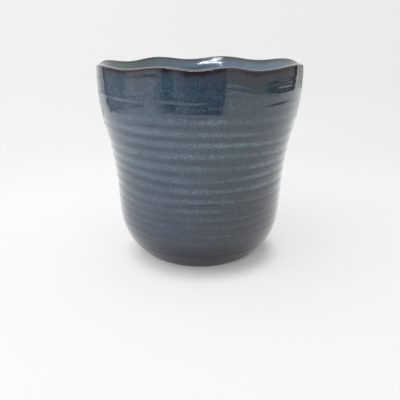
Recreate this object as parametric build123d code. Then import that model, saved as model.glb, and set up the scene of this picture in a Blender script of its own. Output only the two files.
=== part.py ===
from build123d import *

import os
from math import cos, pi, radians, sin

# A wheel-thrown flower vase: one fired clay body and the three coats of glaze melted on to it.
# Millimetres. The origin is on the vase's axis, at the surface that it stands on. +Z is up, and
# azimuth 0 is the front, -Y, with positive azimuths turning towards +X.

# Driving dimensions, over the glaze
RIM_HEIGHT = 136.5
RIM_RADIUS = 70.4
LIP_THICKNESS = 2.2
FLOOR_TOP = 9.0
GLAZE = 0.5

# The bare foot ring
FOOT_RADIUS = 39.3
FOOT_WIDTH = 6.0
FOOT_RECESS = 2.4
GLAZE_LINE = 2.4

# The same lip and floor on the clay, under the glaze
CLAY_RIM_HEIGHT = RIM_HEIGHT - GLAZE
CLAY_RIM_RADIUS = RIM_RADIUS - GLAZE
CLAY_LIP_RADIUS = LIP_THICKNESS / 2 - GLAZE
CLAY_LIP_START = CLAY_RIM_HEIGHT - CLAY_LIP_RADIUS
CLAY_FLOOR_TOP = FLOOR_TOP - GLAZE

# The rim's own glaze wraps over the lip and ends at this height, outside and inside.
RIM_GLAZE_LOW = RIM_HEIGHT - 3.4

# The rim's wave: the azimuths of its crests and dips in turn, and how far each lifts or lowers it.
RIM_WAVE = [
    (-17, 1.15),
    (-2, -0.45),
    (13, 1.15),
    (30, -1.1),
    (60, 1.15),
    (87, -0.8),
    (114, 1.6),
    (139, -0.5),
    (164, 1.65),
    (187, -0.65),
    (209, 1.35),
    (232, -1.05),
    (256, 0.9),
    (277, -1.5),
    (298, 0.55),
    (320, -0.85),
]
# How far the wall leans out for each millimetre that the rim is lifted, and where the wave begins.
SPREAD_PER_LIFT = 0.45
WAVE_START = 98.0

# The potter's fingers leave one spiral that climbs the wall as it turns, closer set near the base.
SPIRAL_PITCH = 7.4
SPIRAL_PITCH_LOW = 5.7
SPIRAL_PITCH_CHANGE = (44.0, 58.0)
SPIRAL_RELIEF = 0.12
SPIRAL_RELIEF_INSIDE = 0.1
SPIRAL_START = (15.0, 30.0)
SPIRAL_FADE = (104.0, 120.0)
SPIRAL_LEFT_AT_RIM = 0.25

# Radius and height of the clay: up the outside from foot to lip, and up the inside from floor to lip.
OUTSIDE = [
    (FOOT_RADIUS, 0),
    (48.3, 8.2),
    (55.9, 20),
    (58.9, 38),
    (60.3, 62),
    (64.0, 86),
    (68.5, 108),
    (69.9, 124),
    (CLAY_RIM_RADIUS, CLAY_LIP_START),
]
INSIDE = [
    (33.0, CLAY_FLOOR_TOP),
    (38.5, 9.1),
    (44.9, 12.6),
    (51.8, 24),
    (54.8, 40),
    (56.4, 62),
    (60.1, 86),
    (64.4, 106),
    (66.1, 119),
    (67.2, 128),
    (CLAY_RIM_RADIUS - 2 * CLAY_LIP_RADIUS, CLAY_LIP_START),
]

# How finely the thrown surfaces are sampled: points round a ring, and rings up a wall and over the lip.
RING_POINTS = 56
OUTSIDE_RINGS = 96
INSIDE_RINGS = 60
LIP_RINGS = 7
LIP_SIDE_RINGS = 4

os.makedirs("parts", exist_ok=True)


def smooth_step(low, high, value):
    """0 below low, 1 above high, and an even S-curve between."""
    share = min(max((value - low) / (high - low), 0.0), 1.0)
    return share * share * (3 - 2 * share)


def spiral_turns(height):
    """Turns of the throwing spiral below a height, with its pitch widening up the wall."""
    slices = 40
    turns = 0.0
    for index in range(slices):
        widened = smooth_step(*SPIRAL_PITCH_CHANGE, (index + 0.5) * height / slices)
        turns += height / slices / (SPIRAL_PITCH_LOW + (SPIRAL_PITCH - SPIRAL_PITCH_LOW) * widened)
    return turns


def spiral_strength(height):
    """Share of the spiral's full relief at a height: none at the foot, a little left at the rim."""
    faded = 1 - (1 - SPIRAL_LEFT_AT_RIM) * smooth_step(*SPIRAL_FADE, height)
    return faded * smooth_step(*SPIRAL_START, height)


def rim_lift(azimuth):
    """Lift of the rim at an azimuth in degrees, swinging evenly from each crest or dip to the next."""
    first_azimuth, first_lift = RIM_WAVE[0]
    turned = (azimuth - first_azimuth) % 360 + first_azimuth
    for (start, lift), (end, next_lift) in zip(RIM_WAVE, RIM_WAVE[1:] + [(first_azimuth + 360, first_lift)]):
        if turned <= end:
            swing = (1 - cos(pi * (turned - start) / (end - start))) / 2
            return lift + (next_lift - lift) * swing


def ring(radius, height, relief=SPIRAL_RELIEF):
    """A closed curve round the vase, with the spiral's relief and the rim's wave for its height."""
    waved = smooth_step(WAVE_START, CLAY_LIP_START, height)
    depth = relief * spiral_strength(height)
    turns = spiral_turns(height)
    points = []
    for index in range(RING_POINTS):
        azimuth = 360 * index / RING_POINTS
        angle = radians(azimuth)
        lift = waved * rim_lift(azimuth)
        reach = radius + depth * cos(2 * pi * turns + angle) + SPREAD_PER_LIFT * lift
        points.append(Vector(reach * sin(angle), -reach * cos(angle), height + lift))
    # Equal parameters keep the knots of all rings alike, so that a loft through them stays small.
    parameters = [index / RING_POINTS for index in range(RING_POINTS + 1)]
    return Wire([Edge.make_spline(points, periodic=True, parameters=parameters)])


def outside_rings(glaze, low, high, count=OUTSIDE_RINGS):
    """Rings up the outside between two heights, this much glaze away from the clay."""
    curve = Edge.make_spline(OUTSIDE)
    return [ring(*point) for point in points_along(curve, glaze, low, high, count)]


def inside_rings(glaze, low, high, count=INSIDE_RINGS):
    """Rings up the inside between two heights, this much glaze away from the clay."""
    curve = Edge.make_spline(INSIDE)
    points = points_along(curve, -glaze, low, high, count)
    return [ring(*point, relief=-SPIRAL_RELIEF_INSIDE) for point in points]


def points_along(curve, outset, low, high, count):
    """Radius and height of points evenly spaced up an outline, moved outwards by outset."""

    def moved(share):
        place, along = curve @ share, curve % share
        return place.X + outset * along.Y, place.Y - outset * along.X

    def share_at(height):
        below, above = 0.0, 1.0
        for _ in range(40):
            middle = (below + above) / 2
            if moved(middle)[1] < height:
                below = middle
            else:
                above = middle
        return above

    first, last = share_at(low), share_at(high)
    return [moved(first + (last - first) * index / (count - 1)) for index in range(count)]


def lip_rings(glaze):
    """Rings over the rounded lip, from just past its outer side to just before its inner side."""
    reach = CLAY_LIP_RADIUS + glaze
    rings = []
    for index in range(1, LIP_RINGS + 1):
        angle = pi * index / (LIP_RINGS + 1)
        radius = CLAY_RIM_RADIUS - CLAY_LIP_RADIUS + reach * cos(angle)
        rings.append(ring(radius, CLAY_LIP_START + reach * sin(angle)))
    return rings


def skin_solid(stacks, floors=()):
    """The solid whose skin runs through stacks of rings, with a flat face across each floor ring."""
    skins = [Shell.make_loft(stack, ruled=len(stack) == 2) for stack in stacks]
    faces = [face for skin in skins for face in skin.faces()]
    return Solid(Shell(faces + [Face(floor) for floor in floors]))


def clay_body():
    """Wall, floor and foot in one piece, with a shallow recess inside the foot ring."""
    outside = outside_rings(0, 0, CLAY_LIP_START)
    inside = inside_rings(0, CLAY_FLOOR_TOP, CLAY_LIP_START)
    lip = [outside[-1], *lip_rings(0), inside[-1]]
    thrown = skin_solid([outside, lip, inside], floors=[outside[0], inside[0]])
    recess_radius = FOOT_RADIUS - FOOT_WIDTH
    recess = Cone(recess_radius, recess_radius - FOOT_RECESS, FOOT_RECESS)
    return thrown - Pos(0, 0, FOOT_RECESS / 2) * recess


def outer_glaze():
    """The coat on the outside, from the glaze line above the foot to the rim's glaze."""
    glazed = outside_rings(GLAZE, GLAZE_LINE, RIM_GLAZE_LOW)
    clay = outside_rings(0, GLAZE_LINE, RIM_GLAZE_LOW)
    return skin_solid([glazed, clay, [glazed[0], clay[0]], [glazed[-1], clay[-1]]])


def over_the_lip(glaze, low):
    """Three stacks of rings: up the outside from a height, over the lip, and up the inside."""
    outside = outside_rings(glaze, low, CLAY_LIP_START, LIP_SIDE_RINGS)
    inside = inside_rings(glaze, low, CLAY_LIP_START, LIP_SIDE_RINGS)
    return outside, [outside[-1], *lip_rings(glaze), inside[-1]], inside


def rim_glaze():
    """The coat that wraps over the lip."""
    glazed = over_the_lip(GLAZE, RIM_GLAZE_LOW)
    clay = over_the_lip(0, RIM_GLAZE_LOW)
    edges = [[glazed[side][0], clay[side][0]] for side in (0, -1)]
    return skin_solid([*glazed, *clay, *edges])


def inner_glaze():
    """The coat on the floor and the inner wall, up to the rim's glaze."""
    glazed = inside_rings(GLAZE, FLOOR_TOP, RIM_GLAZE_LOW)
    clay = inside_rings(0, CLAY_FLOOR_TOP, RIM_GLAZE_LOW)
    return skin_solid([glazed, clay, [glazed[-1], clay[-1]]], floors=[glazed[0], clay[0]])


export_step(clay_body(), "parts/clay_body.step")
export_step(outer_glaze(), "parts/outer_glaze.step")
export_step(rim_glaze(), "parts/rim_glaze.step")
export_step(inner_glaze(), "parts/inner_glaze.step")
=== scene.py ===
import math

import bpy
import numpy as np
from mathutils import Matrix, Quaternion, Vector


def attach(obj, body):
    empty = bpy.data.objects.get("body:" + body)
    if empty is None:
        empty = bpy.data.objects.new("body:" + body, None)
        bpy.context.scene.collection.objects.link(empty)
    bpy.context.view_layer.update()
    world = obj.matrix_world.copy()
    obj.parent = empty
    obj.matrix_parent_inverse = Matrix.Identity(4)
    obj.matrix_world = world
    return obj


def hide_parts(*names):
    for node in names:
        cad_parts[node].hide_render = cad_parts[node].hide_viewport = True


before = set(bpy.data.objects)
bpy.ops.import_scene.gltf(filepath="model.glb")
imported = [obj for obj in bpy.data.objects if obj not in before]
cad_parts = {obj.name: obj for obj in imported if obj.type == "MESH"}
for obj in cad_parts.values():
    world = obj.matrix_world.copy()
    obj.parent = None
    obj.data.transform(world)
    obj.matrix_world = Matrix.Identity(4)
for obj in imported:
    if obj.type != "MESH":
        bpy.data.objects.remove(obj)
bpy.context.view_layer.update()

# A glazed stoneware flower vase: its clay and three coats of glaze as fine meshes, in the frame's places.
# The section and its features are written in millimetres, and turned to metres as each mesh is made.
MM = 0.001

# The thrown section, as in the CAD pieces: radius and height of the clay, outside and inside.
RIM_HEIGHT = 136.5
RIM_RADIUS = 70.4
LIP_THICKNESS = 2.2
GLAZE = 0.5
FOOT_RADIUS = 39.3
FOOT_WIDTH = 6.0
FOOT_RECESS = 2.4
GLAZE_LINE = 2.4
FLOOR_TOP = 9.0
FLOOR_RADIUS = 33.0
CLAY_FLOOR_TOP = FLOOR_TOP - GLAZE
CLAY_RIM_RADIUS = RIM_RADIUS - GLAZE
CLAY_LIP_RADIUS = LIP_THICKNESS / 2 - GLAZE
CLAY_LIP_START = RIM_HEIGHT - GLAZE - CLAY_LIP_RADIUS
RIM_GLAZE_LOW = RIM_HEIGHT - 3.4
OUTSIDE = [
    (FOOT_RADIUS, 0),
    (48.3, 8.2),
    (55.9, 20),
    (58.9, 38),
    (60.3, 62),
    (64.0, 86),
    (68.5, 108),
    (69.9, 124),
    (CLAY_RIM_RADIUS, CLAY_LIP_START),
]
INSIDE = [
    (FLOOR_RADIUS, CLAY_FLOOR_TOP),
    (38.5, 9.1),
    (44.9, 12.6),
    (51.8, 24),
    (54.8, 40),
    (56.4, 62),
    (60.1, 86),
    (64.4, 106),
    (66.1, 119),
    (67.2, 128),
    (CLAY_RIM_RADIUS - 2 * CLAY_LIP_RADIUS, CLAY_LIP_START),
]

# The rim's wave, as azimuths in degrees and lifts of its crests and dips, and the throwing spiral, as in the
# CAD pieces.
RIM_WAVE = [
    (-17, 1.15),
    (-2, -0.45),
    (13, 1.15),
    (30, -1.1),
    (60, 1.15),
    (87, -0.8),
    (114, 1.6),
    (139, -0.5),
    (164, 1.65),
    (187, -0.65),
    (209, 1.35),
    (232, -1.05),
    (256, 0.9),
    (277, -1.5),
    (298, 0.55),
    (320, -0.85),
]
SPREAD_PER_LIFT = 0.45
WAVE_START = 98.0
SPIRAL_PITCH = 7.4
SPIRAL_PITCH_LOW = 5.7
SPIRAL_PITCH_CHANGE = (44.0, 58.0)
SPIRAL_RELIEF = 0.12
SPIRAL_RELIEF_INSIDE = 0.1
SPIRAL_START = (15.0, 30.0)
SPIRAL_FADE = (104.0, 120.0)
SPIRAL_LEFT_AT_RIM = 0.25

# How much softer the spiral is in these meshes: the share that is left low on the wall, and the share that is
# lost near the rim, between these heights.
SPIRAL_LEFT_LOW = 0.5
SPIRAL_LOST_HIGH = 0.75
SPIRAL_LOST_FROM = (94.0, 104.0)

# Shallow dents and fine throwing lines, and the heights between which they begin and the lines grow stronger.
DENT_DEPTH = 0.06
LINE_DEPTH = 0.026
UNEVEN_FROM = (2.0, 20.0)
LINES_STRONGER_FROM = (88.0, 108.0)

# Raised finger marks under the rim: height, how far each stands out, its width, and the azimuth of its middle
# and its reach to each side, in degrees.
FINGER_MARKS = [
    (129.6, 0.16, 2.0, -10, 180),
    (119.4, 0.34, 1.6, -60, 84),
    (120.6, 0.28, 1.6, 160, 110),
    (114.0, 0.20, 1.6, 46, 34),
]

# A shallow groove that the turning tool left above the foot.
GROOVE_HEIGHT = 15.2
GROOVE_DEPTH = 0.30
GROOVE_WIDTH = 0.8

# The outer glaze's rolled lower edge: how far it wanders, its bead's depth and that depth's change, and how
# far up the wall the bead has settled to the plain thickness.
EDGE_WANDER = 0.45
BEAD_DEPTH = 0.62
BEAD_CHANGE = 0.10
BEAD_SETTLED = 9.0

# How finely the section is sampled and rounded, and how many points a mesh has round a ring. The ring nearest
# to the axis is this far from it, and edges sharper than this angle in degrees are not shaded smooth.
SECTION_STEP = 0.1
LIP_POINTS = 80
ROUNDING_POINTS = 13
COLUMNS = 432
POLE_RADIUS = 0.4
SMOOTH_DEGREES = 40


# ---------------------------------------------------------------- camera


SENSOR_WIDTH = 36.0
LENS = 42.03
CAMERA_PLACE = (0.0003, -0.3352, 0.1535)
TIPPED_DOWN = 19.316


def add_camera():
    """A phone held close, a little above the rim and tipped down."""
    data = bpy.data.cameras.new("camera")
    data.sensor_width = SENSOR_WIDTH
    data.lens = LENS
    camera = bpy.data.objects.new("camera", data)
    camera.location = CAMERA_PLACE
    camera.rotation_euler = (math.radians(90 - TIPPED_DOWN), 0.0, 0.0)
    bpy.context.collection.objects.link(camera)
    bpy.context.scene.camera = camera


# ---------------------------------------------------------------- section


def smooth_step(low, high, value):
    """0 below low, 1 above high, and an even S-curve between."""
    share = np.clip((value - low) / (high - low), 0.0, 1.0)
    return share * share * (3 - 2 * share)


def spline(points):
    """Closely spaced points along the natural cubic spline through some points."""
    knots = np.array(points, float)
    at = np.concatenate([[0.0], np.cumsum(np.hypot(*np.diff(knots, axis=0).T))])
    gaps = np.diff(at)
    count = len(knots)
    matrix = np.eye(count)
    right = np.zeros((count, 2))
    for index in range(1, count - 1):
        before, after = gaps[index - 1], gaps[index]
        matrix[index, index - 1 : index + 2] = before, 2 * (before + after), after
        slopes = np.diff(knots[index - 1 : index + 2], axis=0) / [[before], [after]]
        right[index] = 6 * (slopes[1] - slopes[0])
    bends = np.linalg.solve(matrix, right)
    places = np.arange(0.0, at[-1], SECTION_STEP)
    span = np.clip(np.searchsorted(at, places, side="right") - 1, 0, count - 2)
    gap = gaps[span][:, None]
    low = (at[span + 1] - places)[:, None]
    high = (places - at[span])[:, None]
    curve = (bends[span] * low**3 + bends[span + 1] * high**3) / (6 * gap)
    curve += (knots[span] / gap - bends[span] * gap / 6) * low
    curve += (knots[span + 1] / gap - bends[span + 1] * gap / 6) * high
    return np.vstack([curve, knots[-1:]])


def straight(*corners):
    """Closely spaced points along straight runs between corners."""
    pieces = []
    for start, end in zip(corners, corners[1:]):
        count = max(2, int(math.dist(start, end) / SECTION_STEP))
        shares = np.linspace(0, 1, count, endpoint=False)[:, None]
        pieces.append(np.array(start) + shares * (np.array(end) - np.array(start)))
    return np.vstack(pieces + [np.array(corners[-1:], float)])


class Section:
    """The clay's section from the middle of its underside, round the foot and lip, to its floor's middle.

    A point on a surface is given by its distance along the section and its height above the clay.
    """

    def __init__(self):
        recess_radius = FOOT_RADIUS - FOOT_WIDTH
        underside = straight(
            (0.0, FOOT_RECESS),
            (recess_radius - FOOT_RECESS, FOOT_RECESS),
            (recess_radius, 0.0),
            (FOOT_RADIUS, 0.0),
        )
        angles = np.linspace(0, math.pi, LIP_POINTS)[:, None]
        lip_middle = np.array([CLAY_RIM_RADIUS - CLAY_LIP_RADIUS, CLAY_LIP_START])
        lip = lip_middle + CLAY_LIP_RADIUS * np.hstack([np.cos(angles), np.sin(angles)])
        floor = straight((FLOOR_RADIUS, CLAY_FLOOR_TOP), (0.0, CLAY_FLOOR_TOP))
        parts = [underside, spline(OUTSIDE)[1:], lip[1:], spline(INSIDE)[::-1][1:], floor[1:]]
        points = np.vstack(parts)
        along = np.concatenate([[0.0], np.cumsum(np.hypot(*np.diff(points, axis=0).T))])
        ends = np.cumsum([len(part) for part in parts]) - 1
        self.foot, self.lip_start, self.lip_end, self.floor_edge, self.end = along[ends]
        self.lip_top = (self.lip_start + self.lip_end) / 2

        # The foot's corners are worn round, by averaging over a short stretch.
        self.along = np.arange(0.0, self.end, SECTION_STEP)
        even = np.stack([np.interp(self.along, along, points[:, axis]) for axis in (0, 1)], 1)
        window = np.hanning(ROUNDING_POINTS)[1:-1]
        window /= window.sum()
        half = len(window) // 2
        padded = np.pad(even, ((half, half), (0, 0)), mode="edge")
        rounded = np.stack([np.convolve(padded[:, axis], window, "valid") for axis in (0, 1)], 1)
        rounded[:, 0] = np.maximum(rounded[:, 0], 0.0)
        self.points = rounded
        slopes = np.gradient(rounded, axis=0)
        slopes /= np.hypot(*slopes.T)[:, None]
        self.normals = np.stack([slopes[:, 1], -slopes[:, 0]], 1)

    def outside_at(self, height):
        """Distance along the section where the outside reaches a height."""
        chosen = (self.along > self.foot) & (self.along < self.lip_start)
        return np.interp(height, self.points[chosen, 1], self.along[chosen])

    def inside_at(self, height):
        """Distance along the section where the inside comes down to a height."""
        chosen = (self.along > self.lip_end) & (self.along < self.floor_edge)
        return np.interp(height, self.points[chosen, 1][::-1], self.along[chosen][::-1])

    def at(self, along, above):
        """Radius and height of points on the section, lifted above the clay along its normal."""
        values = [np.interp(along, self.along, column) for column in (*self.points.T, *self.normals.T)]
        return values[0] + above * values[2], values[1] + above * values[3]


def spiral_turns(height):
    """Turns of the throwing spiral below a height, with its pitch widening up the wall."""
    step = 0.5
    heights = np.arange(0.0, RIM_HEIGHT + 5, step)
    widened = smooth_step(*SPIRAL_PITCH_CHANGE, heights)
    rates = 1 / (SPIRAL_PITCH_LOW + (SPIRAL_PITCH - SPIRAL_PITCH_LOW) * widened)
    turns = np.concatenate([[0.0], np.cumsum((rates[1:] + rates[:-1]) / 2 * step)])
    return np.interp(height, heights, turns)


def spiral_strength(height):
    """Share of the spiral's full relief at a height: none at the foot, a little left at the rim."""
    faded = 1 - (1 - SPIRAL_LEFT_AT_RIM) * smooth_step(*SPIRAL_FADE, height)
    return faded * smooth_step(*SPIRAL_START, height)


def rim_lift(azimuth):
    """How far the rim is lifted at an azimuth in radians, in even swings from crest to dip."""
    first, lift = RIM_WAVE[0]
    turns, lifts = np.array(RIM_WAVE + [(first + 360, lift)]).T
    place = np.interp((np.degrees(azimuth) - first) % 360 + first, turns, np.arange(len(turns)))
    before = np.minimum(place.astype(int), len(RIM_WAVE) - 1)
    swing = (1 - np.cos(math.pi * (place - before))) / 2
    return lifts[before] + (lifts[before + 1] - lifts[before]) * swing


def unevenness(azimuth, height, seed, across, upright=None, waves=14):
    """A random ripple between about -1 and 1, whole round the vase, with waves of about these sizes."""
    draw = np.random.default_rng(seed)
    upright = upright or across
    radius = 62.0
    total = np.zeros(np.broadcast(azimuth, height).shape)
    for _ in range(waves):
        angle, phase, stretch = draw.uniform(0, 2 * math.pi, 3)
        pace = 2 * math.pi * (0.6 + 0.12 * stretch)
        lobes = round(pace * math.cos(angle) * radius / across)
        total += np.cos(lobes * azimuth + pace * math.sin(angle) * height / upright + phase)
    return total / math.sqrt(waves)


def thrown(section, along, above):
    """Points in metres for distances along the section and heights above the clay, one column an azimuth.

    Also how deep each point lies between the spiral's ridges, and in the groove, to paint the glazes by.
    """
    azimuth = 2 * math.pi * np.arange(along.shape[1]) / along.shape[1] + 0 * along
    radius, height = section.at(along, above)
    waved = smooth_step(WAVE_START, CLAY_LIP_START, height)
    inside = smooth_step(section.lip_start, section.lip_end, along)
    relief = SPIRAL_RELIEF * (1 - inside) - SPIRAL_RELIEF_INSIDE * inside
    softened = SPIRAL_LEFT_LOW + (1 - SPIRAL_LEFT_LOW) * smooth_step(*SPIRAL_PITCH_CHANGE, height)
    relief *= softened - SPIRAL_LOST_HIGH * smooth_step(*SPIRAL_LOST_FROM, height)
    wavering = 0.45 * unevenness(azimuth, height, 3, 90.0, 26.0)
    phase = 2 * math.pi * spiral_turns(height) + azimuth + wavering
    pressed = np.clip(0.85 + 0.28 * unevenness(azimuth, height, 4, 75.0, 15.0), 0.15, 1.2)
    strength = spiral_strength(height) * pressed
    ridge = np.cos(phase) + 0.25 * np.sin(2 * phase)
    lift = waved * rim_lift(azimuth)
    shaped = smooth_step(*UNEVEN_FROM, height)
    dents = DENT_DEPTH * unevenness(azimuth, height, 5, 34.0)
    lines = LINE_DEPTH * unevenness(azimuth, height, 6, 50.0, 4.2, waves=28)
    stronger = 0.4 + 0.6 * smooth_step(*LINES_STRONGER_FROM, height)
    lines *= (1 + unevenness(azimuth, height, 7, 30.0)) * stronger
    reach = radius + relief * strength * ridge + SPREAD_PER_LIFT * lift + shaped * (dents + lines)
    for index, (mark_height, depth, width, middle, spread) in enumerate(FINGER_MARKS):
        wander = 0.7 * unevenness(azimuth, 0.0, 20 + index, 80.0)
        mark = np.exp(-(((height - mark_height - wander) / width) ** 2)) * (1 - inside)
        away = np.abs((np.degrees(azimuth) - middle + 180) % 360 - 180)
        mark *= 1 - smooth_step(0.6 * spread, spread, away)
        reach += depth * mark * (0.85 + 0.25 * unevenness(azimuth, 0.0, 30 + index, 110.0))
    groove_height = GROOVE_HEIGHT + 0.5 * unevenness(azimuth, 0.0, 8, 70.0)
    groove = np.exp(-(((height - groove_height) / GROOVE_WIDTH) ** 2)) * (1 - inside)
    reach -= GROOVE_DEPTH * groove
    points = np.stack([reach * np.sin(azimuth), -reach * np.cos(azimuth), height + lift], -1) * MM
    return points, {"hollow": -np.cos(phase) * strength * softened, "groove": groove}


# ---------------------------------------------------------------- meshes


def skin(name, rows, values, closed=False, poles=(False, False)):
    """A mesh through rows of points round the vase, joined end to end or closed at its poles."""
    count, columns = rows.shape[:2]
    vertices = rows.reshape(-1, 3).tolist()
    index = np.arange(count * columns).reshape(count, columns)
    if closed:
        index = np.vstack([index, index[:1]])
    low, high = index[:-1], index[1:]
    quads = np.stack([low, np.roll(low, -1, 1), np.roll(high, -1, 1), high], -1)
    faces = quads.reshape(-1, 4).tolist()
    painted = {key: value.reshape(-1).tolist() for key, value in values.items()}
    for pole, row in zip(poles, (0, count - 1)):
        if not pole:
            continue
        middle = rows[row].mean(axis=0)
        vertices.append(middle.tolist())
        for key, value in values.items():
            painted[key].append(float(value[row].mean()))
        ring = index[row].tolist()
        following = ring[1:] + ring[:1]
        ends = zip(ring, following) if row else zip(following, ring)
        faces += [[first, second, len(vertices) - 1] for first, second in ends]
    mesh = bpy.data.meshes.new(name)
    mesh.from_pydata(vertices, [], faces)
    for key, value in painted.items():
        mesh.attributes.new(key, "FLOAT", "POINT").data.foreach_set("value", value)
    mesh.shade_smooth()
    mesh.set_sharp_from_angle(angle=math.radians(SMOOTH_DEGREES))
    piece = bpy.data.objects.new(name, mesh)
    bpy.context.collection.objects.link(piece)
    return piece


def grid(*stretches):
    """One column of numbers from stretches of (start, end, count), without doubled ends."""
    parts = [np.linspace(start, end, count, endpoint=False) for start, end, count in stretches]
    return np.concatenate(parts + [[stretches[-1][1]]])[:, None]


def coat(name, section, along, above, closed=True, poles=(False, False)):
    """A piece whose skin runs through points on the section, with its painting values."""
    along, above = np.broadcast_arrays(along + np.zeros(COLUMNS), above + np.zeros(COLUMNS))
    points, values = thrown(section, along, above)
    below_lip = section.lip_top - along
    # Distances from the lip count for more inside, so that its brown band is much narrower there.
    narrowed = 2.5
    from_lip = np.where(below_lip > 0, below_lip, -narrowed * below_lip)
    inside = smooth_step(section.lip_top, section.lip_end + 1.0, along)
    values |= {"inside": inside, "from_lip": from_lip, "from_foot": along - section.foot}
    return skin(name, points, values, closed, poles)


def make_outer_glaze(section):
    """The outside's coat, with a rolled lower edge that wanders along the glaze line."""
    azimuth = 2 * math.pi * np.arange(COLUMNS) / COLUMNS
    line = section.outside_at(GLAZE_LINE) + EDGE_WANDER * unevenness(azimuth, 0.0, 11, 20.0)
    top = section.outside_at(RIM_GLAZE_LOW)
    bead = BEAD_DEPTH + BEAD_CHANGE * unevenness(azimuth, 0.0, 12, 26.0)
    turn = np.linspace(0, math.pi / 2, 7)[:-1, None]
    edge_along = line + bead * (1 - np.cos(turn))
    edge_above = bead * np.sin(turn)
    shares = np.linspace(0, 1, 208)[:, None]
    face_along = (line + bead) + shares * (top - line - bead)
    settled = smooth_step(0.0, BEAD_SETTLED, face_along - line)
    face_above = bead + (GLAZE - bead) * settled
    back_shares = np.linspace(1, 0, 16)[:, None]
    back_along = line + back_shares * (top - line)
    along = np.vstack([edge_along, face_along, back_along])
    above = np.vstack([edge_above, face_above, 0 * back_along])
    return coat("outer_glaze_coat", section, along, above)


def make_rim_glaze(section):
    """The coat that wraps over the lip."""
    outside, inside = section.outside_at(RIM_GLAZE_LOW), section.inside_at(RIM_GLAZE_LOW)
    face = grid(
        (outside, section.lip_start, 4),
        (section.lip_start, section.lip_end, 32),
        (section.lip_end, inside, 4),
    )
    back = face[::-2]
    along = np.vstack([face, back])
    above = np.vstack([face * 0 + GLAZE, back * 0])
    return coat("rim_glaze_coat", section, along, above)


def make_inner_glaze(section):
    """The liner coat, from the rim's glaze down the wall and over the floor."""
    top = section.inside_at(RIM_GLAZE_LOW)
    face = grid((top, section.floor_edge, 120), (section.floor_edge, section.end - POLE_RADIUS, 14))
    back = face[::-3]
    along = np.vstack([face, back])
    above = np.vstack([face * 0 + GLAZE, back * 0])
    return coat("inner_glaze_coat", section, along, above)


def make_clay(section):
    """The clay body, with rings closest together round the worn corners of its foot."""
    along = grid(
        (POLE_RADIUS, section.foot - 8.0, 40),
        (section.foot - 8.0, section.foot + 6.0, 56),
        (section.foot + 6.0, section.lip_start, 60),
        (section.lip_start, section.lip_end, 8),
        (section.lip_end, section.floor_edge, 50),
        (section.floor_edge, section.end - POLE_RADIUS, 8),
    )
    return coat("clay", section, along, 0 * along, closed=False, poles=(True, True))


# ---------------------------------------------------------------- materials


class Graph:
    """A material's node tree, with a short call for each kind of node that is used."""

    def __init__(self, name):
        self.material = bpy.data.materials.new(name)
        self.material.use_nodes = True
        self.tree = self.material.node_tree
        self.shader = self.tree.nodes["Principled BSDF"]
        self.place = self.tree.nodes.new("ShaderNodeTexCoord").outputs["Object"]

    def fill(self, socket, value):
        """Links another socket to this one, or gives it a plain value."""
        if isinstance(value, bpy.types.NodeSocket):
            self.tree.links.new(value, socket)
        elif isinstance(value, (tuple, list)) and socket.type == "RGBA":
            socket.default_value = (*value, 1.0)
        else:
            socket.default_value = value

    def math(self, operation, *values):
        """The result of one operation on sockets and numbers."""
        node = self.tree.nodes.new("ShaderNodeMath")
        node.operation = operation
        for socket, value in zip(node.inputs, values):
            self.fill(socket, value)
        return node.outputs[0]

    def between(self, value, low, high):
        """0 below low, 1 above high, and smooth between."""
        node = self.tree.nodes.new("ShaderNodeMapRange")
        node.interpolation_type = "SMOOTHSTEP"
        for name, given in (("Value", value), ("From Min", low), ("From Max", high)):
            self.fill(node.inputs[name], given)
        return node.outputs[0]

    def scaled(self, *scales):
        """The place, stretched by a scale along each axis."""
        node = self.tree.nodes.new("ShaderNodeVectorMath")
        node.operation = "MULTIPLY"
        self.fill(node.inputs[0], self.place)
        node.inputs[1].default_value = scales
        return node.outputs[0]

    def noise(self, across, upright=None, detail=3.0, roughness=0.55):
        """Noise with this many features a metre across, and upright if that differs."""
        node = self.tree.nodes.new("ShaderNodeTexNoise")
        upright = across if upright is None else upright
        self.fill(node.inputs["Vector"], self.scaled(across, across, upright))
        node.inputs["Scale"].default_value = 1.0
        node.inputs["Detail"].default_value = detail
        node.inputs["Roughness"].default_value = roughness
        return node.outputs["Fac"]

    def spots(self, across, upright=None):
        """Distance from the nearest of scattered points, and a random number for each."""
        node = self.tree.nodes.new("ShaderNodeTexVoronoi")
        upright = across if upright is None else upright
        self.fill(node.inputs["Vector"], self.scaled(across, across, upright))
        node.inputs["Scale"].default_value = 1.0
        split = self.tree.nodes.new("ShaderNodeSeparateColor")
        self.tree.links.new(node.outputs["Color"], split.inputs[0])
        return node.outputs["Distance"], split.outputs[0]

    def axis(self, index):
        """The place along one axis, in metres."""
        node = self.tree.nodes.new("ShaderNodeSeparateXYZ")
        self.tree.links.new(self.place, node.inputs[0])
        return node.outputs[index]

    def painted(self, name):
        """A value that is kept at each point of the mesh."""
        node = self.tree.nodes.new("ShaderNodeAttribute")
        node.attribute_name = name
        return node.outputs["Fac"]

    def mix(self, share, first, second):
        """The first colour, with this share of the second."""
        node = self.tree.nodes.new("ShaderNodeMix")
        node.data_type = "RGBA"
        self.fill(node.inputs[0], share)
        self.fill(node.inputs[6], first)
        self.fill(node.inputs[7], second)
        return node.outputs[2]

    def bump(self, height, distance, normal=None):
        """The normal of a surface raised by a height, up to a distance in metres."""
        node = self.tree.nodes.new("ShaderNodeBump")
        node.inputs["Distance"].default_value = distance
        self.fill(node.inputs["Height"], height)
        if normal:
            self.fill(node.inputs["Normal"], normal)
        return node.outputs[0]

    def finish(self, **sockets):
        """The material, once the shader's sockets are filled. An underscore stands for a space in a name."""
        for name, value in sockets.items():
            self.fill(self.shader.inputs[name.replace("_", " ")], value)
        return self.material


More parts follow.
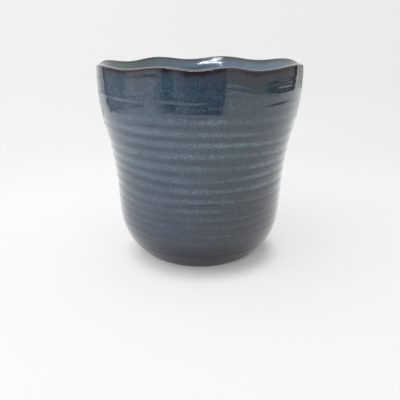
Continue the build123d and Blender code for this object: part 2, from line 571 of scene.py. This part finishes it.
# Each glaze from dark to pale, outside and inside.
OUTSIDE_GLAZE = [(0.018, 0.036, 0.066), (0.040, 0.076, 0.112), (0.150, 0.220, 0.280)]
BLUE_LINER = [(0.086, 0.142, 0.206), (0.125, 0.196, 0.264), (0.18, 0.25, 0.31)]
TEAL_LINER = [(0.088, 0.150, 0.150), (0.145, 0.225, 0.210), (0.19, 0.27, 0.26)]
# The haze below is partly painted light on the lit side, and the greyer side tint and the dark foot tints are
# painted shade.
HAZE_AND_SIDE_LIGHT = (0.098, 0.158, 0.238)
CRYSTAL = (0.24, 0.31, 0.355)
SHADE = (0.020, 0.032, 0.048)
IRON = (0.022, 0.014, 0.020)
VEIL = (0.064, 0.060, 0.062)
SIDE_SHADE = (0.034, 0.049, 0.062)
FOOT_SHADE = (0.010, 0.010, 0.020)
FOOT_SHADE_BLUER = (0.014, 0.017, 0.042)
FOOT_BROWN = (0.040, 0.029, 0.032)
LIP_TINT = (0.20, 0.15, 0.135)

# Bare stoneware in its darker and paler clouds, its grog, and its toasted edge.
STONEWARE_DARK = (0.30, 0.21, 0.145)
STONEWARE_PALE = (0.42, 0.31, 0.22)
GROG = (0.10, 0.055, 0.035)
TOASTED = (0.12, 0.070, 0.048)

# Millimetres along the section from the lip and from the foot between which each change in the glaze happens.
THICKER_FROM_LIP = (16.0, 40.0)
DARKER_TO_FOOT = (108.0, 10.0)
GRAIN_FROM_LIP = (0.5, 9.0)
BAND_STARTS, BAND_ENDS = (18.0, 19.5), (36.0, 23.0)
BROWNER_TO_FOOT = (18.0, 15.0)
VEIL_TO_LIP = (19.0, 9.0)
BREAK_TO_LIP = (7.2, 4.2)
TAN_TO_LIP = (0.65, 0.25)
DRY_TO_LIP = (1.4, 0.4)

# How deep the glaze's pits and its ripples are, and the clay's sandy feel, in metres.
PIT_DEPTH = 0.00003
RIPPLE_DEPTH = 0.00008
SAND_DEPTH = 0.00012


def glaze_material(name):
    """A reactive glaze: mottled depth, milky grain where it pools, and darker breaks where it runs thin, with
    painted shade on one side and towards the foot.
    """
    graph = Graph(name)
    hollow, groove, inside, from_lip, from_foot = [
        graph.painted(value) for value in ("hollow", "groove", "inside", "from_lip", "from_foot")
    ]

    # The liner is teal on one side of the vase and bluer on the other.
    drift = graph.math("MULTIPLY_ADD", graph.noise(25.0, detail=2.0), 0.05, graph.axis(0))
    bluer = graph.between(drift, -0.026, 0.010)
    palette = zip(OUTSIDE_GLAZE, TEAL_LINER, BLUE_LINER)
    deep, middle, milky = [
        graph.mix(inside, out, graph.mix(bluer, teal, blue)) for out, teal, blue in palette
    ]

    # Cloudy depth at three sizes.
    cloud = graph.noise(34.0, 46.0, detail=2.0)
    mottle = graph.noise(170.0, 260.0, detail=3.0, roughness=0.62)
    curdle = graph.noise(480.0, detail=3.0, roughness=0.7)
    clouded = graph.between(cloud, 0.36, 0.64)
    depth = graph.math("MULTIPLY_ADD", graph.between(mottle, 0.32, 0.68), 0.55, clouded)
    depth = graph.math("MULTIPLY_ADD", graph.between(curdle, 0.36, 0.64), 0.55, depth)
    colour = graph.mix(graph.math("MULTIPLY", depth, 0.44), deep, middle)

    # The side of the vase towards +x is painted darker and greyer: painted shade, for light that comes from
    # the other side.
    sideways = graph.math("MULTIPLY_ADD", graph.noise(20.0, detail=1.0), 0.06, graph.axis(0))
    shaded_side = graph.between(sideways, 0.0, 0.07)
    side_shade = graph.math("MULTIPLY", shaded_side, graph.math("MULTIPLY_ADD", inside, -0.7, 0.7))
    colour = graph.mix(side_shade, colour, SIDE_SHADE)

    # Away from the rim it is thicker, and so hazier, but only off the shaded side, so the haze is partly real
    # and partly painted light; towards the foot it is darker, which is painted shade.
    outside = graph.math("SUBTRACT", 1.0, inside)
    thick = graph.math("MULTIPLY", graph.between(from_lip, *THICKER_FROM_LIP), outside)
    haze_and_side_light = graph.math("MULTIPLY", thick, graph.math("MULTIPLY_ADD", shaded_side, -0.14, 0.14))
    colour = graph.mix(haze_and_side_light, colour, HAZE_AND_SIDE_LIGHT)
    # Painted shade towards the foot, bluer on the lit side.
    near_foot = graph.math("MULTIPLY", graph.between(from_foot, *DARKER_TO_FOOT), outside)
    foot_shade = graph.mix(shaded_side, FOOT_SHADE_BLUER, FOOT_SHADE)
    colour = graph.mix(graph.math("MULTIPLY", near_foot, 0.9), colour, foot_shade)

    # It is milkier in the hollows of the throwing spiral, in narrower lines on the side painted with shade.
    gathered = graph.between(hollow, graph.math("MULTIPLY_ADD", shaded_side, 0.85, -0.75), 0.9)
    patches = graph.between(graph.noise(38.0, 70.0, detail=3.0), 0.38, 0.62)
    share = graph.math("MULTIPLY_ADD", patches, 0.10, 0.15)
    share = graph.math("MULTIPLY", share, graph.math("MULTIPLY_ADD", near_foot, -0.85, 1.0))
    share = graph.math("MULTIPLY", share, graph.math("MULTIPLY", gathered, thick))
    colour = graph.mix(share, colour, milky)

    # Milky grain crowds there.
    crowd = graph.math("MULTIPLY", graph.math("MULTIPLY_ADD", shaded_side, 0.34, 0.20), thick)
    patchy = graph.math("MULTIPLY_ADD", patches, 0.7, 0.3)
    crowd = graph.math("MULTIPLY", graph.math("ADD", crowd, 0.33), patchy)
    crowd = graph.math("MULTIPLY_ADD", crowd, gathered, 0.19)
    faded = graph.math("MULTIPLY", near_foot, graph.math("MULTIPLY_ADD", shaded_side, 0.5, -0.85))
    crowd = graph.math("MULTIPLY", crowd, graph.math("ADD", faded, 1.0))
    crowd = graph.math("MULTIPLY", crowd, graph.between(from_lip, *GRAIN_FROM_LIP))
    crowd = graph.math("MULTIPLY", crowd, graph.math("MULTIPLY_ADD", inside, -0.6, 1.0))
    grain = graph.between(graph.noise(900.0, 760.0, detail=3.0, roughness=0.75), 0.47, 0.62)
    streaks = graph.between(graph.noise(700.0, 150.0, detail=3.0, roughness=0.7), 0.50, 0.68)
    dusting = graph.math("MAXIMUM", grain, graph.math("MULTIPLY", streaks, 0.7))
    dusting = graph.math("MULTIPLY", dusting, crowd)
    colour = graph.mix(dusting, colour, milky)

    # Small pale crystals in the thickest of it.
    distance, draw = graph.spots(1350.0, 1050.0)
    chosen = graph.math("LESS_THAN", draw, graph.math("MULTIPLY_ADD", crowd, 0.5, -0.10))
    fleck = graph.math("MULTIPLY", graph.between(distance, 0.50, 0.20), chosen)
    colour = graph.mix(graph.math("MULTIPLY", fleck, 0.45), colour, CRYSTAL)

    # It runs thin on the ridges, which are dark, with a trace of iron in places.
    thin = graph.between(hollow, -0.35, -0.95)
    rusty = graph.between(graph.noise(45.0, 60.0, detail=3.0), 0.48, 0.66)
    broken = graph.mix(graph.math("MULTIPLY", rusty, 0.4), SHADE, IRON)
    colour = graph.mix(graph.math("MULTIPLY", thin, 0.36), colour, broken)

    # A dark band of painted shade stands above the groove, deeper on the shaded side, and a browner one runs
    # from there to the foot.
    band_starts = graph.between(from_foot, *BAND_STARTS)
    band_ends = graph.between(from_foot, *BAND_ENDS)
    above_groove = graph.math("MULTIPLY", band_starts, band_ends)
    above_groove = graph.math("MULTIPLY", above_groove, graph.math("MULTIPLY_ADD", shaded_side, 0.35, 0.6))
    colour = graph.mix(graph.math("MULTIPLY", above_groove, outside), colour, FOOT_SHADE)
    below_groove = graph.math("MULTIPLY", graph.between(from_foot, *BROWNER_TO_FOOT), outside)
    colour = graph.mix(graph.math("MULTIPLY", below_groove, 0.6), colour, FOOT_BROWN)
    # The groove is darkened with the foot's painted shade.
    colour = graph.mix(graph.math("MULTIPLY", groove, 0.8), colour, FOOT_SHADE)

    # Under the lip it is greyed, then breaks brown with a ragged edge, and the top of the lip is a thin tan.
    ragged = graph.noise(110.0, 70.0, detail=4.0, roughness=0.65)
    veiled = graph.between(graph.math("MULTIPLY_ADD", ragged, 14.0, from_lip), *VEIL_TO_LIP)
    veil = graph.math("MULTIPLY", veiled, graph.math("MULTIPLY_ADD", shaded_side, 0.55, 0.3))
    colour = graph.mix(veil, colour, VEIL)
    breaking = graph.between(graph.math("MULTIPLY_ADD", ragged, 6.0, from_lip), *BREAK_TO_LIP)
    colour = graph.mix(graph.math("MULTIPLY", breaking, 0.9), colour, IRON)
    colour = graph.mix(graph.between(from_lip, *TAN_TO_LIP), colour, LIP_TINT)

    pits = graph.noise(1300.0, 1000.0, detail=2.0)
    normal = graph.bump(graph.math("MULTIPLY_ADD", fleck, 0.4, pits), PIT_DEPTH)
    normal = graph.bump(graph.noise(420.0, 60.0, detail=2.0), RIPPLE_DEPTH, normal)
    dry_lip = graph.between(from_lip, *DRY_TO_LIP)
    roughness = graph.math("MULTIPLY_ADD", dusting, 0.10, graph.math("MULTIPLY_ADD", dry_lip, 0.16, 0.055))
    return graph.finish(
        Base_Color=colour,
        Roughness=roughness,
        Normal=normal,
        IOR=1.42,
        Coat_Weight=1.0,
        Coat_IOR=1.46,
        Coat_Roughness=0.06,
        Coat_Normal=normal,
    )


def clay_material():
    """Bare stoneware: buff, with darker grog, a toasted edge and a sandy feel."""
    graph = Graph("stoneware")
    cloud = graph.noise(60.0, detail=4.0)
    colour = graph.mix(graph.between(cloud, 0.35, 0.68), STONEWARE_DARK, STONEWARE_PALE)
    distance, draw = graph.spots(700.0)
    chosen = graph.math("LESS_THAN", draw, 0.16)
    speck = graph.math("MULTIPLY", graph.between(distance, 0.34, 0.18), chosen)
    colour = graph.mix(graph.math("MULTIPLY", speck, 0.8), colour, GROG)
    toasted = graph.between(graph.painted("from_foot"), -1.5, 1.0)
    colour = graph.mix(graph.math("MULTIPLY", toasted, 0.9), colour, TOASTED)
    sand = graph.noise(1600.0, detail=3.0, roughness=0.7)
    normal = graph.bump(sand, SAND_DEPTH)
    roughness = graph.math("MULTIPLY_ADD", cloud, 0.2, 0.68)
    return graph.finish(Base_Color=colour, Roughness=roughness, Normal=normal)


# ---------------------------------------------------------------- studio


def matt(name, colour):
    """A plain surface without gloss, for the stage."""
    material = bpy.data.materials.new(name)
    material.use_nodes = True
    shader = material.node_tree.nodes["Principled BSDF"]
    shader.inputs["Base Color"].default_value = (*colour, 1.0)
    shader.inputs["Roughness"].default_value = 0.9
    shader.inputs["Specular IOR Level"].default_value = 0.0
    return material


def seen_directly(tree):
    """1 for camera rays and for rays off glossy or through clear surfaces, else 0."""
    path = tree.nodes.new("ShaderNodeLightPath")
    either = path.outputs["Is Camera Ray"]
    for kind in ("Is Glossy Ray", "Is Transmission Ray"):
        most = tree.nodes.new("ShaderNodeMath")
        most.operation = "MAXIMUM"
        tree.links.new(either, most.inputs[0])
        tree.links.new(path.outputs[kind], most.inputs[1])
        either = most.outputs[0]
    return either


def stage_mesh(name, vertices, faces, material):
    """A mesh that belongs to the studio and not to the vase."""
    mesh = bpy.data.meshes.new(name)
    mesh.from_pydata(vertices, [], faces)
    mesh.shade_smooth()
    mesh.materials.append(material)
    piece = bpy.data.objects.new(name, mesh)
    bpy.context.collection.objects.link(piece)
    return piece


# The share of plain white that washes out the paper, near the foot and away from it, and its share in
# mirrored rays. The white is a little greyer far from the vase, a painted fall-off of the light, and what
# the glaze mirrors carries a painted shadow, dark close round the foot. Distances are from the middle of the
# shaded place, which is a little to the front and right of the vase's axis.
SHADED_PLACE = (0.0015, -0.0065, 0.0)
WASH_NEAR, WASH_AWAY, WASH_MIRRORED = 0.12, 0.62, 0.80
WASH_CHANGE = (0.045, 0.062)
LIGHT_POOL_NEAR, LIGHT_POOL_FAR = 0.97, 0.87
LIGHT_POOL_CHANGE = (0.16, 0.45)
MIRRORED_SHADOW, MIRRORED_AWAY = 0.10, 0.97
MIRRORED_SHADOW_CHANGE = (0.032, 0.077)
PAPER = (0.89, 0.88, 0.872)

# The paper sweep, in metres: its half width, where it starts and ends, and its back wall's height and bend.
SWEEP_HALF_WIDTH = 1.3
SWEEP_FRONT, SWEEP_BACK = -1.5, 0.40
SWEEP_HEIGHT = 0.62
SWEEP_BEND = 0.09
BEND_STEPS = 12
CARD_STEPS = 8
LAMPS_FACE = (0.0, 0.0, 0.07)


def paper_material():
    """White paper, washed out as in a bright photograph, and less so in the shadow close round the foot."""
    material = matt("paper", PAPER)
    tree = material.node_tree
    reach = tree.nodes.new("ShaderNodeVectorMath")
    reach.operation = "DISTANCE"
    tree.links.new(tree.nodes.new("ShaderNodeTexCoord").outputs["Object"], reach.inputs[0])
    reach.inputs[1].default_value = SHADED_PLACE

    def ramp(change, low, high):
        node = tree.nodes.new("ShaderNodeMapRange")
        node.interpolation_type = "SMOOTHSTEP"
        tree.links.new(reach.outputs["Value"], node.inputs["Value"])
        for name, value in zip(("From Min", "From Max", "To Min", "To Max"), (*change, low, high)):
            node.inputs[name].default_value = value
        return node.outputs[0]

    def multiply_add(first, second, third):
        node = tree.nodes.new("ShaderNodeMath")
        node.operation = "MULTIPLY_ADD"
        for socket, value in zip(node.inputs, (first, second, third)):
            if isinstance(value, bpy.types.NodeSocket):
                tree.links.new(value, socket)
            else:
                socket.default_value = value
        return node.outputs[0]

    path = tree.nodes.new("ShaderNodeLightPath").outputs
    mirrored = multiply_add(path["Is Glossy Ray"], 1.0, path["Is Transmission Ray"])
    washed = multiply_add(path["Is Camera Ray"], ramp(WASH_CHANGE, WASH_NEAR, WASH_AWAY), 0.0)
    washed = multiply_add(mirrored, WASH_MIRRORED, washed)
    # The white's strength carries a painted fall-off of the light away from the vase for the camera, and a
    # painted shadow round the foot in mirrored rays.
    strength = multiply_add(path["Is Camera Ray"], ramp(LIGHT_POOL_CHANGE, LIGHT_POOL_NEAR, LIGHT_POOL_FAR), 0.0)
    strength = multiply_add(mirrored, ramp(MIRRORED_SHADOW_CHANGE, MIRRORED_SHADOW, MIRRORED_AWAY), strength)
    white = tree.nodes.new("ShaderNodeEmission")
    tree.links.new(strength, white.inputs["Strength"])
    choose = tree.nodes.new("ShaderNodeMixShader")
    tree.links.new(washed, choose.inputs[0])
    tree.links.new(tree.nodes["Principled BSDF"].outputs[0], choose.inputs[1])
    tree.links.new(white.outputs[0], choose.inputs[2])
    tree.links.new(choose.outputs[0], tree.nodes["Material Output"].inputs[0])
    return material


def add_sweep():
    """A white paper sweep: a floor that curves up into a low back wall."""
    bend_start = SWEEP_BACK - SWEEP_BEND
    line = [(SWEEP_FRONT, 0.0), (bend_start, 0.0)]
    for index in range(1, BEND_STEPS + 1):
        angle = math.pi / 2 * index / BEND_STEPS
        line.append((bend_start + SWEEP_BEND * math.sin(angle), SWEEP_BEND - SWEEP_BEND * math.cos(angle)))
    line.append((SWEEP_BACK, SWEEP_HEIGHT))
    vertices = [(side * SWEEP_HALF_WIDTH, y, z) for y, z in line for side in (-1, 1)]
    faces = [(2 * row, 2 * row + 1, 2 * row + 3, 2 * row + 2) for row in range(len(line) - 1)]
    stage_mesh("paper_sweep", vertices, faces, paper_material())


# Cards that only the gloss mirrors: name, from azimuth, to azimuth, distance, from height, to height, and
# grey. Azimuths are in degrees, and the rest is in metres.
CARDS = [
    ("front_edge_card", -42, -34, 0.34, 0.0, 0.25, 0.55),
    ("front_left_card", -34, -20, 0.34, 0.0, 0.25, 0.02),
    ("front_gap_card", -20, -9, 0.34, 0.0, 0.25, 0.38),
    ("front_right_card", -9, 24, 0.34, 0.0, 0.25, 0.02),
    ("left_high_card", -100, -34, 0.50, 0.132, 0.168, 0.03),
    ("left_turn_card", -133, -121, 0.60, 0.005, 0.20, 0.60),
    ("left_back_card", -168, -131, 0.37, 0.025, 0.14, 0.76),
    ("right_turn_card", 128, 133, 0.60, 0.01, 0.20, 0.10),
    ("right_back_card", 131, 168, 0.37, 0.025, 0.085, 0.76),
    ("right_back_high_card", 131, 168, 0.37, 0.085, 0.14, 0.38),
    ("right_wall_card", 24, 126, 0.80, 0.0, 0.20, 0.40),
    ("right_low_card", 72, 126, 0.78, 0.0, 0.05, 0.02),
    ("right_post_card", 112, 126, 0.76, 0.0, 0.17, 0.02),
    ("left_post_card", -117, -111, 0.50, 0.0, 0.16, 0.03),
    ("left_wall_card", -111, -81, 0.50, 0.0, 0.15, 0.36),
    ("left_low_card", -114, -56, 0.44, 0.0, 0.034, 0.45),
    ("left_strip_card", -114, -60, 0.43, 0.0, 0.007, 0.06),
    ("left_ledge_card", -114, -70, 0.43, 0.028, 0.034, 0.08),
]


def add_cards():
    """The darker things round the table that a photographer's room has, as upright curved cards."""
    for name, start, end, distance, low, high, grey in CARDS:
        turns = np.radians(np.linspace(start, end, CARD_STEPS + 1))
        places = [(distance * math.sin(turn), -distance * math.cos(turn)) for turn in turns]
        vertices = [(x, y, z) for x, y in places for z in (low, high)]
        faces = [(step, step + 2, step + 3, step + 1) for step in range(0, 2 * CARD_STEPS, 2)]
        card = stage_mesh(name, vertices, faces, matt(name, (grey, grey, grey)))
        card.visible_camera = False
        card.visible_diffuse = False
        card.visible_shadow = False


def add_world():
    """A soft pale room, and plain white behind everything for the camera and in reflections."""
    world = bpy.data.worlds.new("studio")
    bpy.context.scene.world = world
    world.use_nodes = True
    tree = world.node_tree
    lit = tree.nodes["Background"]
    lit.inputs["Color"].default_value = (1.0, 0.995, 0.985, 1.0)
    lit.inputs["Strength"].default_value = 0.40
    seen = tree.nodes.new("ShaderNodeBackground")
    seen.inputs["Color"].default_value = (0.90, 0.90, 0.905, 1.0)
    choose = tree.nodes.new("ShaderNodeMixShader")
    tree.links.new(seen_directly(tree), choose.inputs[0])
    tree.links.new(lit.outputs[0], choose.inputs[1])
    tree.links.new(seen.outputs[0], choose.inputs[2])
    tree.links.new(choose.outputs[0], tree.nodes["World Output"].inputs[0])


def add_lamp(name, place, size, power, colour, roll=0.0):
    """A rectangular lamp that faces the middle of the vase, rolled about its beam by this many degrees."""
    data = bpy.data.lights.new(name, "AREA")
    data.shape = "RECTANGLE"
    data.size, data.size_y = size
    data.energy = power
    data.color = colour
    lamp = bpy.data.objects.new(name, data)
    lamp.location = place
    facing = (Vector(LAMPS_FACE) - Vector(place)).to_track_quat("-Z", "Y")
    lamp.rotation_mode = "QUATERNION"
    lamp.rotation_quaternion = facing @ Quaternion((0.0, 0.0, 1.0), math.radians(roll))
    bpy.context.collection.objects.link(lamp)
    return lamp


def add_lamps():
    """Three soft lamps round the vase, and a long thin one that its liner mirrors as a highlight."""
    add_lamp("overhead_softbox", (-0.25, -0.05, 1.0), (1.1, 1.1), 4.2, (0.99, 0.99, 1.0))
    left = add_lamp("left_softbox", (-0.75, -0.35, 0.65), (0.8, 0.8), 3.2, (0.98, 0.99, 1.0))
    right = add_lamp("right_softbox", (0.75, 0.35, 0.45), (0.5, 0.5), 1.2, (1.0, 0.99, 0.97))
    left.visible_glossy = right.visible_glossy = False
    add_lamp("front_window", (-0.24, -1.0, 0.625), (0.62, 0.028), 3.0, (0.94, 0.975, 1.0), roll=9.0)


# ---------------------------------------------------------------- the vase


def dress(piece, material, node):
    """Gives a piece its material, and lets it stand for its CAD node."""
    piece.data.materials.append(material)
    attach(piece, "root")
    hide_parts(node)


add_camera()
add_world()
add_sweep()
add_cards()
add_lamps()

section = Section()
dress(make_clay(section), clay_material(), "clay_body")
dress(make_outer_glaze(section), glaze_material("blue_glaze"), "outer_glaze")
dress(make_rim_glaze(section), glaze_material("brown_glaze"), "rim_glaze")
dress(make_inner_glaze(section), glaze_material("liner_glaze"), "inner_glaze")

bpy.context.scene.view_settings.view_transform = "Standard"
bpy.context.view_layer.update()
